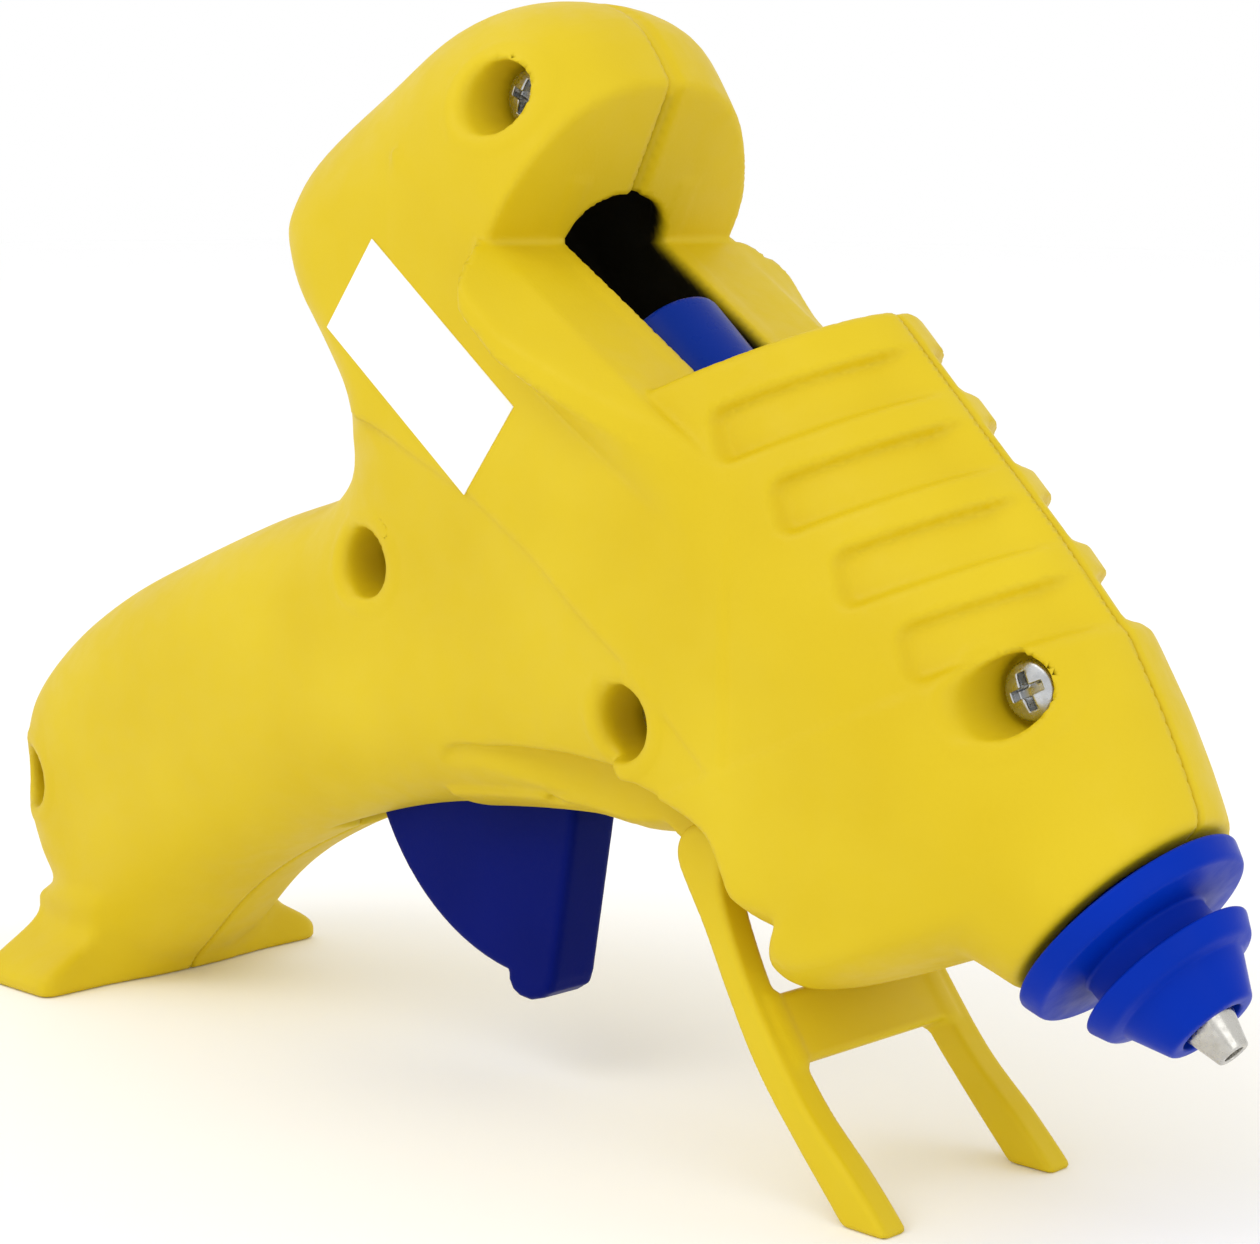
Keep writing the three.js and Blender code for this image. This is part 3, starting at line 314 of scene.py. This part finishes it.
# ------------------------------------------------------------------ skin of a solid function
def skin(function, low, high, cell, polish=2):
    """Vertices and quads of the surface where function is zero.

    The function is sampled on a grid of cubic cells; each cell that the surface crosses gets one vertex,
    at the mean of the crossings on its edges, and each crossed grid edge gives the quad of the four cells
    round it. Each vertex then steps along the function's gradient on to the surface.
    """
    n = [int(math.ceil((b - a) / cell)) + 1 for a, b in zip(low, high)]
    g = [a + cell * np.arange(k) for a, k in zip(low, n)]
    v = np.asarray(function(g[0][:, None, None], g[1][None, :, None], g[2][None, None, :]), np.float64)
    v = np.broadcast_to(v, n)
    v = np.where(np.abs(v) < 1e-6, 1e-6, v)
    inside = v > 0
    cells, spots, quads = [], [], []
    dims = np.array(n)
    strides = np.array([dims[1] * dims[2], dims[2], 1])
    for axis in range(3):
        a = [slice(None)] * 3
        b = [slice(None)] * 3
        a[axis], b[axis] = slice(0, -1), slice(1, None)
        v0, v1 = v[tuple(a)], v[tuple(b)]
        index = np.argwhere(inside[tuple(a)] != inside[tuple(b)])
        f0, f1 = v0[tuple(index.T)], v1[tuple(index.T)]
        spot = index.astype(float)
        spot[:, axis] += f0 / (f0 - f1)
        u, w = (axis + 1) % 3, (axis + 2) % 3
        ring = []
        for du, dw in ((-1, -1), (0, -1), (0, 0), (-1, 0)):
            c = index.copy()
            c[:, u] += du
            c[:, w] += dw
            ring.append(c @ strides)
            cells.append(c @ strides)
            spots.append(spot)
        quad = np.stack(ring, 1)
        flip = f0 < f1
        quad[flip] = quad[flip][:, ::-1]
        quads.append(quad)
    cells, spots = np.concatenate(cells), np.concatenate(spots)
    ids, back = np.unique(cells, return_inverse=True)
    count = np.bincount(back)
    mean = np.stack([np.bincount(back, spots[:, k]) / count for k in range(3)], 1)
    points = np.array(low) + mean * cell
    faces = np.searchsorted(ids, np.concatenate(quads))
    e = cell * 0.08
    for _ in range(polish):
        x, y, z = points.T
        f = function(x, y, z)
        rises = [function(x + e, y, z) - f, function(x, y + e, z) - f, function(x, y, z + e) - f]
        grad = np.stack(rises, 1) / e
        move = -f[:, None] * grad / np.maximum((grad**2).sum(1), 0.15)[:, None]
        length = np.linalg.norm(move, axis=1, keepdims=True)
        points = points + move * np.minimum(1, 0.45 * cell / np.maximum(length, 1e-9))
    return points, faces


def place(name, points, faces, finish, body, nodes, slot):
    """A mesh from shape coordinates in millimetres, riding on a CAD body in place of the named nodes."""
    points = (np.asarray(points, float) + [SHIFT, 0, 0]) * 0.001
    mesh = bpy.data.meshes.new(name)
    faces = np.asarray(faces)
    mesh.vertices.add(len(points))
    mesh.vertices.foreach_set("co", points.astype(np.float32).ravel())
    mesh.loops.add(faces.size)
    mesh.loops.foreach_set("vertex_index", faces.astype(np.int32).ravel())
    mesh.polygons.add(len(faces))
    mesh.polygons.foreach_set("loop_start", np.arange(0, faces.size, faces.shape[1], dtype=np.int32))
    mesh.update(calc_edges=True)
    mesh.validate()
    mesh.polygons.foreach_set("use_smooth", np.ones(len(mesh.polygons), bool))
    mesh.materials.append(finish)
    made = bpy.data.objects.new(name, mesh)
    bpy.context.scene.collection.objects.link(made)
    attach(made, body)
    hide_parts(*nodes)
    return made


def mirrored(points, faces):
    """The same skin on the other side of the parting plane."""
    return points * [1, -1, 1], faces[:, ::-1]


# ------------------------------------------------------------------ finishes
def linear(code):
    """Linear RGBA of an sRGB hex code."""
    c = [int(code[i : i + 2], 16) / 255 for i in (1, 3, 5)]
    return tuple(v / 12.92 if v <= 0.04045 else ((v + 0.055) / 1.055) ** 2.4 for v in c) + (1,)


def shader(name, colour, roughness, metal=0.0):
    """A new material with its node tree and its main shader node."""
    made = bpy.data.materials.new(name)
    made.use_nodes = True
    node = made.node_tree.nodes["Principled BSDF"]
    node.inputs["Base Color"].default_value = linear(colour)
    node.inputs["Roughness"].default_value = roughness
    node.inputs["Metallic"].default_value = metal
    return made, made.node_tree, node


def position(tree):
    """Object-space position in millimetres: every piece keeps the frame's own axes."""
    coord = tree.nodes.new("ShaderNodeTexCoord")
    scale = tree.nodes.new("ShaderNodeVectorMath")
    scale.operation = "SCALE"
    scale.inputs["Scale"].default_value = 1000
    tree.links.new(coord.outputs["Object"], scale.inputs[0])
    return scale.outputs[0]


def noise(tree, where, scale, detail):
    """Noise from 0 to 1 whose largest patches are about 1 / scale millimetres across."""
    made = tree.nodes.new("ShaderNodeTexNoise")
    made.inputs["Scale"].default_value = scale
    made.inputs["Detail"].default_value = detail
    made.inputs["Roughness"].default_value = 0.5
    tree.links.new(where, made.inputs["Vector"])
    return made.outputs[0]


def ramp(tree, value, low, high, from_low=0.35, from_high=0.65):
    """Value carried from the range from_low to from_high to the range low to high, and held inside it."""
    made = tree.nodes.new("ShaderNodeMapRange")
    for key, v in zip(("From Min", "From Max", "To Min", "To Max"), (from_low, from_high, low, high)):
        made.inputs[key].default_value = v
    tree.links.new(value, made.inputs["Value"])
    return made.outputs["Result"]


def mixed(tree, amount, a, b):
    """Colour between a and b, each a hex code or an output."""
    made = tree.nodes.new("ShaderNodeMix")
    made.data_type = "RGBA"
    tree.links.new(amount, made.inputs[0])
    for socket, v in ((made.inputs[6], a), (made.inputs[7], b)):
        if isinstance(v, str):
            socket.default_value = linear(v)
        else:
            tree.links.new(v, socket)
    return made.outputs[2]


def bump(tree, node, heights):
    """Chained bumps: each entry is (height output, distance in metres, strength)."""
    last = None
    for value, distance, strength in heights:
        made = tree.nodes.new("ShaderNodeBump")
        made.inputs["Distance"].default_value = distance
        made.inputs["Strength"].default_value = strength
        tree.links.new(value, made.inputs["Height"])
        if last is not None:
            tree.links.new(last, made.inputs["Normal"])
        last = made.outputs[0]
    tree.links.new(last, node.inputs["Normal"])


def mark_inside(made, most=188000):
    """Attribute `channel`, 1 on the stick channel's walls where the yellow finish paints shade, and fewer
    faces on the hollow's hidden walls.
    """
    n = len(made.data.vertices)
    co = np.empty(n * 3, np.float32)
    made.data.vertices.foreach_get("co", co)
    x, y, z = (co.reshape(-1, 3).astype(float) * 1000 - [SHIFT, 0, 0]).T
    s, h, form = station(x, z), height(x, z), outer_form(x, y, z)
    # Painted shade: the stick channel's walls are marked 1 here, so the yellow finish paints them near black,
    # as if the hollow lay in deep shadow.
    near = (np.abs(y) < 5.6) & (h > -6.5) & (h < 14) & (s > 44) & (s < 92)
    value = np.where(near, step(0.1, 1.0, form), 0)
    painted_shade_attribute = made.data.attributes.new("channel", "FLOAT", "POINT")
    painted_shade_attribute.data.foreach_set("value", value.astype(np.float32))
    hidden = (form > 1.4) & ~near
    for px, pz, side in SCREWS.values():
        hidden &= np.hypot(x - px, z - pz) > 3.4
    group = made.vertex_groups.new(name="hidden")
    group.add(np.flatnonzero(hidden).tolist(), 1.0, "REPLACE")
    thin = made.modifiers.new("thin_inside", "DECIMATE")
    thin.ratio = min(1.0, most / (2 * len(made.data.polygons)))
    thin.vertex_group = "hidden"
    thin.use_collapse_triangulate = True


def moulded(name, colour, dull, light, roughness, grain=0.00002, specular=0.5, inside=None):
    """Moulded plastic: slow colour drift, a fine spark-eroded grain and faint sink marks; inside, when given,
    is a painted shade colour laid on the walls marked by the `channel` attribute.
    """
    made, tree, node = shader(name, colour, roughness)
    where = position(tree)
    drift = ramp(tree, noise(tree, where, 0.06, 2), 0, 1, 0.3, 0.7)
    tint = mixed(tree, drift, dull, light)
    # Painted shade: the colour inside is mixed in where the `channel` attribute marks the stick channel's
    # walls.
    if inside:
        painted_shade_mask = tree.nodes.new("ShaderNodeAttribute")
        painted_shade_mask.attribute_name = "channel"
        tint = mixed(tree, painted_shade_mask.outputs["Fac"], tint, inside)
    tree.links.new(tint, node.inputs["Base Color"])
    sheen = ramp(tree, noise(tree, where, 0.5, 4), roughness - 0.05, roughness + 0.07)
    tree.links.new(sheen, node.inputs["Roughness"])
    node.inputs["Specular IOR Level"].default_value = specular
    bump(tree, node, [(noise(tree, where, 3.2, 2), grain, 0.5), (noise(tree, where, 0.16, 2), 0.00012, 0.25)])
    return made


# The yellow shell's stick-channel walls get painted shade: near-black #151206 where the `channel` attribute
# is 1.
yellow = moulded("moulded_yellow", "#D5B910", "#D1B408", "#D9BE18", 0.5, specular=0.25, inside="#151206")
blue = moulded("moulded_blue", "#021066", "#020F60", "#03126E", 0.34, specular=0.04)
# Lighter copy of the trigger's blue plastic for the carriage: partly a less purple hue, partly painted light
# for its top, lit in the window.
blue_with_painted_light = moulded("moulded_blue_painted_light", "#01288A", "#012580", "#022C94", 0.3, specular=0.08)
silicone = moulded("moulded_silicone", "#012CA4", "#01299A", "#0230B0", 0.34, 0.00001, specular=0.05)


def metal(name, colour, roughness, grime="#3A3632", amount=0.25):
    """Plated or turned metal with uneven polish and grime in patches."""
    made, tree, node = shader(name, colour, roughness, 1.0)
    where = position(tree)
    patch = ramp(tree, noise(tree, where, 1.1, 4), 0, amount, 0.45, 0.75)
    tree.links.new(mixed(tree, patch, colour, grime), node.inputs["Base Color"])
    sheen = ramp(tree, noise(tree, where, 2.6, 4), roughness - 0.08, roughness + 0.12)
    tree.links.new(sheen, node.inputs["Roughness"])
    bump(tree, node, [(noise(tree, where, 6, 2), 0.00001, 0.4)])
    return made


steel = metal("plated_steel", "#C2C4C6", 0.27)
tip_metal = metal("turned_tip", "#C4C2BC", 0.24, "#8A8478", 0.35)
alloy = metal("cast_alloy", "#B8BABD", 0.5)
strip = metal("stamped_copper", "#C98A5A", 0.4)
ceramic = shader("sintered_ceramic", "#8A8480", 0.8)[0]
film = shader("amber_film", "#B8741F", 0.35)[0]
live = shader("red_sleeving", "#A32018", 0.5)[0]
neutral = shader("black_sleeving", "#1C1C1E", 0.5)[0]
clear = shader("clear_silicone", "#B4AEA2", 0.45)[0]


def printed():
    """Blank white printed label, with the faint mottling of coated film."""
    made, tree, node = shader("blank_label", "#F6F6F5", 0.38)
    where = position(tree)
    mottle = ramp(tree, noise(tree, where, 0.4, 3), 0, 1)
    tree.links.new(mixed(tree, mottle, "#F3F3F2", "#F9F9F9"), node.inputs["Base Color"])
    bump(tree, node, [(noise(tree, where, 0.25, 2), 0.00008, 0.3)])
    return made


label_film = printed()
for node, finish in {
    "melt_chamber": alloy, "front_support_ring": ceramic, "rear_support_ring": ceramic,
    "feed_sleeve": clear, "sleeve_clamp": steel, "ptc_element": ceramic, "upper_electrode": strip,
    "lower_electrode": strip, "heater_insulation": film, "live_lead": live, "neutral_lead": neutral,
    "live_crimp": strip, "neutral_crimp": strip, "check_ball": steel, "check_spring": steel,
    "trigger_pin": steel, "drive_pin": steel, "grip_jaw": steel,
}.items():
    mesh = frame["nodes"][node].data
    mesh.materials.clear()
    mesh.materials.append(finish)

# ------------------------------------------------------------------ shell halves
CELL = 0.46
low, high = (-16.5, -0.4, -0.6), (110.5, 19.4, 87.8)
points, faces = mirrored(*skin(lambda x, y, z: shell_half(x, y, z, True), low, high, CELL))
mark_inside(place("right_half", points, faces, yellow, "shell", ["right_shell"], "yellow_plastic"))
points, faces = skin(lambda x, y, z: shell_half(x, y, z, False), low, high, CELL)
mark_inside(place("left_half", points, faces, yellow, "shell", ["left_shell"], "yellow_plastic"))


# ------------------------------------------------------------------ stand
def stand_form(x, y, z):
    """Two curved legs with slanted tips, a crossbar and a stub pin inside each leg."""
    ay = np.abs(y)
    dx, dz = x - STAND[0], z - STAND[1]
    rho = np.hypot(dx, dz)
    leg = within(x, z, LEGS)
    out = 8.15 + 0.02 * np.maximum(rho - 12, 0)
    side = both(ay - out, out + 2.65 - ay, 0.5)
    body = both(either(leg, 2.05 - np.hypot(x - 74.1, z - 24.6), 0.8), side, 0.5)
    bar = both(both(leg, both(rho - 12.5, 17.9 - rho, 0.3), 0.5), 9.2 - ay, 0.5)
    body = either(body, bar, 0.8)
    body = either(body, both(1.5 - rho, both(ay - 5.6, 9 - ay, 0.2), 0.2), 0.2)
    return both(body, z, 0.4)


LEGS = curve([
    (72.5, 25.4), (72.3, 23.2), (74.7, 19.0), (77.4, 13.8), (80.3, 9.2), (84.2, 4.6), (87.2, 1.3),
    (88.2, 0.2), (88.8, -0.3), (91.6, -0.5), (92.3, -0.4), (92.4, 0), (91.9, 0.8), (88.9, 3.9),
    (85.2, 7.3), (82.2, 11.0), (79.2, 15.4), (76.8, 20.6), (76.1, 23.6), (75.6, 25.6), (74.1, 26.5),
])
points, faces = skin(stand_form, (69.5, -12, -0.6), (93, 12, 29), 0.3)
place("fold_stand", points, faces, yellow, "stand", ["stand"], "yellow_plastic")

# ------------------------------------------------------------------ trigger and carriage
REST = math.pi / 2 - PITCH + math.radians(9)  # rest angle of the arm, from +x towards +z
ARM = 21.0  # pivot to drive pin


def from_pivot(radius, angle):
    """The (x, z) at a radius and an angle round the trigger pivot."""
    return PIVOT[0] + radius * math.cos(angle), PIVOT[1] + radius * math.sin(angle)


ARM_END = from_pivot(ARM, REST)
FIN = np.array([from_pivot(20.6, a) for a in np.radians(np.linspace(206, 261, 15))] + [
    (45.6, 8.1), (46.1, 7.3), (46.9, 6.9), (48.1, 6.8), (49.4, 7.2), (50.5, 7.9), (50.9, 9.0), (53.2, 22.4),
    (52.8, 29.4), (51.0, 32.4), (45.6, 32), (36, 24),
])


def trigger_form(x, y, z):
    """A thin fin with a concentric back edge, under a forked arm that carries the drive pin."""
    ay = np.abs(y)
    fin = both(within(x, z, FIN), 2.55 - ay, 0.7)
    t = (x - PIVOT[0]) * math.cos(REST) + (z - PIVOT[1]) * math.sin(REST)
    k = -(x - PIVOT[0]) * math.sin(REST) + (z - PIVOT[1]) * math.cos(REST)
    arm = least(t + 2, ARM - t, 3 - t / ARM - np.abs(k))
    arm = np.maximum(arm, 2.2 - np.hypot(x - ARM_END[0], z - ARM_END[1]))
    arm = both(np.minimum(arm, ay - 1.2), 2.5 - ay, 0.3)
    body = either(fin, arm, 0.3)
    body = np.minimum(body, np.hypot(x - PIVOT[0], z - PIVOT[1]) - 1.55)
    return np.minimum(body, np.hypot(x - ARM_END[0], z - ARM_END[1]) - 1.12)


points, faces = skin(trigger_form, (27.5, -3, 5.8), (63, 3, 50), 0.28)
place("feed_trigger", points, faces, blue, "trigger", ["trigger"], "blue_plastic")
DRIVE = (station(*ARM_END), height(*ARM_END))


def carriage_form(x, y, z):
    """A tube round the stick axis, with a slotted lug below it for the drive pin and a hole for the jaw."""
    s, h = station(x, z), height(x, z)
    r = np.hypot(h, y)
    ay = np.abs(y)
    body = both(5.0 - r, both(s - 52.5, 69.5 - s, 0.3), 0.5)
    lug = least(0.9 - ay, 2.7 - np.abs(s - DRIVE[0]), -4 - h, h - DRIVE[1] + 2.6)
    body = either(body, lug, 0.3)
    body = both(body, r - 4.0, 0.4)
    body = cut(body, 1.35 - np.abs(s - DRIVE[0]), 1.6 - np.abs(h - DRIVE[1]))
    return cut(body, 1.5 - np.abs(s - 60), 1.6 - ay, h - 2)


points, faces = skin(carriage_form, (52, -5.4, 35), (78, 5.4, 67), 0.3)
place("stick_carriage", points, faces, blue_with_painted_light, "carriage", ["feed_carriage"], "blue_plastic")


# ------------------------------------------------------------------ turned pieces on the stick axis
def turned(profile, sides=128):
    """Profile of (station, radius) points, closed on itself, swept round the stick axis.

    At angle a the point lies at height r cos a above the axis and r sin a to the side.
    """
    p = np.array(profile, float)
    a = 2 * np.pi * np.arange(sides) / sides
    s, r = p[:, 0][:, None], p[:, 1][:, None]
    x, z = at(s, r * np.cos(a))
    points = np.stack([x, r * np.sin(a), z], 2).reshape(-1, 3)
    i, j = np.meshgrid(np.arange(len(p)), np.arange(sides), indexing="ij")
    k, m = (i + 1) % len(p), (j + 1) % sides
    faces = np.stack([i * sides + j, i * sides + m, k * sides + m, k * sides + j], 2).reshape(-1, 4)
    a, b, c, d = (points[faces[:, i]] for i in range(4))
    volume = (a * (np.cross(b, c) + np.cross(c, d))).sum()
    return points, faces if volume > 0 else faces[:, ::-1]


def rounded(corners, steps=4):
    """Closed profile through (station, radius, fillet) corners, each corner rounded by its fillet."""
    c = np.array([q[:2] for q in corners], float)
    out = []
    for i, (_, _, fillet) in enumerate(corners):
        before, here, after = c[i - 1], c[i], c[(i + 1) % len(c)]
        u, w = before - here, after - here
        lu, lw = np.linalg.norm(u), np.linalg.norm(w)
        cut = min(fillet, 0.45 * lu, 0.45 * lw)
        if cut < 1e-4:
            out.append(here)
            continue
        a, b = here + u / lu * cut, here + w / lw * cut
        for t in np.linspace(0, 1, steps + 1):
            out.append((1 - t) ** 2 * a + 2 * t * (1 - t) * here + t * t * b)
    return np.array(out)


def shade(made, angle):
    """Keeps edges sharper than the angle crisp under smooth shading."""
    made.data.set_sharp_from_angle(angle=math.radians(angle))


boot = rounded([
    (2.3, 2.4, 0.2), (2.3, 3.38, 0.35), (5.45, 5.0, 0.15), (5.75, 6.05, 0.35), (7.35, 6.84, 0.35),
    (7.6, 4.9, 0.3), (9.6, 4.9, 0.3), (9.87, 8.7, 0.4), (11.65, 9.29, 0.4), (11.8, 6.1, 0.1),
    (15.2, 6.1, 0.1), (15.2, 4.9, 0), (12.2, 4.9, 0), (12.2, 3.3, 0), (5.3, 3.3, 0), (5.3, 2.4, 0),
])
shade(place("silicone_boot", *turned(boot), silicone, "shell", ["nozzle_boot"], "blue_silicone"), 50)
nozzle = rounded([
    (0, 0.75, 0.1), (0, 1.2, 0.15), (3.2, 2.1, 0.1), (5.8, 2.1, 0), (5.8, 3.1, 0), (12, 3.1, 0), (12, 2.2, 0),
    (16.8, 2.2, 0), (16.8, 1.8, 0), (6, 1.8, 0), (4.6, 0.75, 0),
])
points, faces = turned(nozzle, 96)
# The cone's two spanner flats: up to station 4.2 nothing stands further to the side than 1.72 mm.
front = station(points[:, 0], points[:, 2]) < 4.2
points[front, 1] = np.clip(points[front, 1], -1.72, 1.72)
shade(place("bare_tip", points, faces, tip_metal, "shell", ["nozzle_tip"], "nozzle_metal"), 25)


# ------------------------------------------------------------------ screws
def screw_form(x, y, z):
    """Pan head with a cross recess, centred on y, its crown at y = 0 and its shank towards +y."""
    r = np.hypot(x, z)
    dome = both(2.1 - r, both(y - 0.02 - 0.1 * r**2, 1.7 - y, 0.2), 0.3)
    u, w = (x + z) / 2**0.5, (x - z) / 2**0.5
    u, w = np.abs(u), np.abs(w)
    blade = np.maximum(np.minimum(0.34 - u, 1.35 - w), np.minimum(0.34 - w, 1.35 - u))
    blade = np.maximum(blade, 0.55 - np.maximum(np.abs(x), np.abs(z)))
    dome = cut(dome, blade, 1.15 - y, edge=0.12)
    return either(dome, least(1.2 - r, y - 1.5, 4.4 - y), 0.1)


head, head_faces = skin(screw_form, (-2.7, -0.2, -2.7), (2.7, 4.6, 2.7), 0.09)
for i, (name, (px, pz, side)) in enumerate(SCREWS.items()):
    turn = 0.35 + 0.9 * i
    c, s = math.cos(turn), math.sin(turn)
    x, y, z = head.T
    spun = np.stack([px + c * x - s * z, y - (side - 3.2), pz + s * x + c * z], 1)
    place("pan_" + name, spun, head_faces, steel, "shell", [name], "steel")


# ------------------------------------------------------------------ label
def sticker(half_u=9.9, half_v=4.4, nu=60, nv=28):
    """Thin plate on the barrel's side: a (u, v) grid in its own plane, front and back, joined at the rim."""
    u, v = np.meshgrid(np.linspace(-1, 1, nu), np.linspace(-1, 1, nv), indexing="ij")
    c, s = math.cos(math.radians(-37.6)), math.sin(math.radians(-37.6))
    x, z = 47.3 + half_u * u * c - half_v * v * s, 58.9 + half_u * u * s + half_v * v * c
    edge = np.minimum(half_u * (1 - np.abs(u)), half_v * (1 - np.abs(v)))
    face = -13.78 + 0.06 * np.exp(-edge / 0.15)
    front = np.stack([x, face, z], 2).reshape(-1, 3)
    back = np.stack([x, np.full_like(x, -BARREL - 0.02), z], 2).reshape(-1, 3)
    index = np.arange(nu * nv).reshape(nu, nv)
    quads = np.stack([index[:-1, :-1], index[1:, :-1], index[1:, 1:], index[:-1, 1:]], 2).reshape(-1, 4)
    rim = np.concatenate([index[:, 0], index[-1, 1:], index[-2::-1, -1], index[0, -2:0:-1]])
    after = np.roll(rim, -1)
    wall = np.stack([rim, rim + nu * nv, after + nu * nv, after], 1)
    return np.concatenate([front, back]), np.concatenate([quads, quads[:, ::-1] + nu * nv, wall])


shade(place("blank_sticker", *sticker(), label_film, "shell", ["label"], "label_film"), 40)

mesh = bpy.data.meshes.new("floor")
mesh.from_pydata([(-3, -3, 0), (3, -3, 0), (3, 3, 0), (-3, 3, 0)], [], [(0, 1, 2, 3)])
floor = bpy.data.objects.new("floor", mesh)
bpy.context.scene.collection.objects.link(floor)
mesh.materials.append(shader("floor_white", "#FFFFFF", 0.9)[0])

world = bpy.data.worlds.new("studio")
bpy.context.scene.world = world
world.use_nodes = True
world.node_tree.nodes["Background"].inputs["Color"].default_value = (1, 1, 1, 1)
world.node_tree.nodes["Background"].inputs["Strength"].default_value = 1.0


CENTRE = Vector((0.0, 0.0, 0.04))  # where both lamps are aimed
for name, spot, size, power in (("key", (-0.1, -0.6, 0.7), 0.5, 1.6), ("side", (0.7, -0.2, 0.25), 0.4, 0.5)):
    data = bpy.data.lights.new(name, "AREA")
    data.size, data.energy = size, power
    lamp = bpy.data.objects.new(name, data)
    bpy.context.scene.collection.objects.link(lamp)
    lamp.location = spot
    lamp.rotation_mode = "QUATERNION"
    lamp.rotation_quaternion = (CENTRE - Vector(spot)).to_track_quat("-Z", "Y")

camera = bpy.data.objects.new("camera", bpy.data.cameras.new("camera"))
bpy.context.scene.collection.objects.link(camera)
bpy.context.scene.camera = camera
camera.data.sensor_width = 36
camera.data.lens = 84.69
# The camera's right, up and backward directions.
axes = Matrix(((0.7248, 0.6902, 0.0067), (-0.1052, 0.1013, 0.9893), (0.6827, -0.7165, 0.1433)))
camera.rotation_mode = "QUATERNION"
camera.rotation_quaternion = axes.transposed().to_quaternion()
camera.location = ((215.795 + SHIFT) / 1000, -0.166854, 0.072451)
camera.data.clip_start, camera.data.clip_end = 0.01, 10
bpy.context.scene.view_settings.view_transform = "Standard"
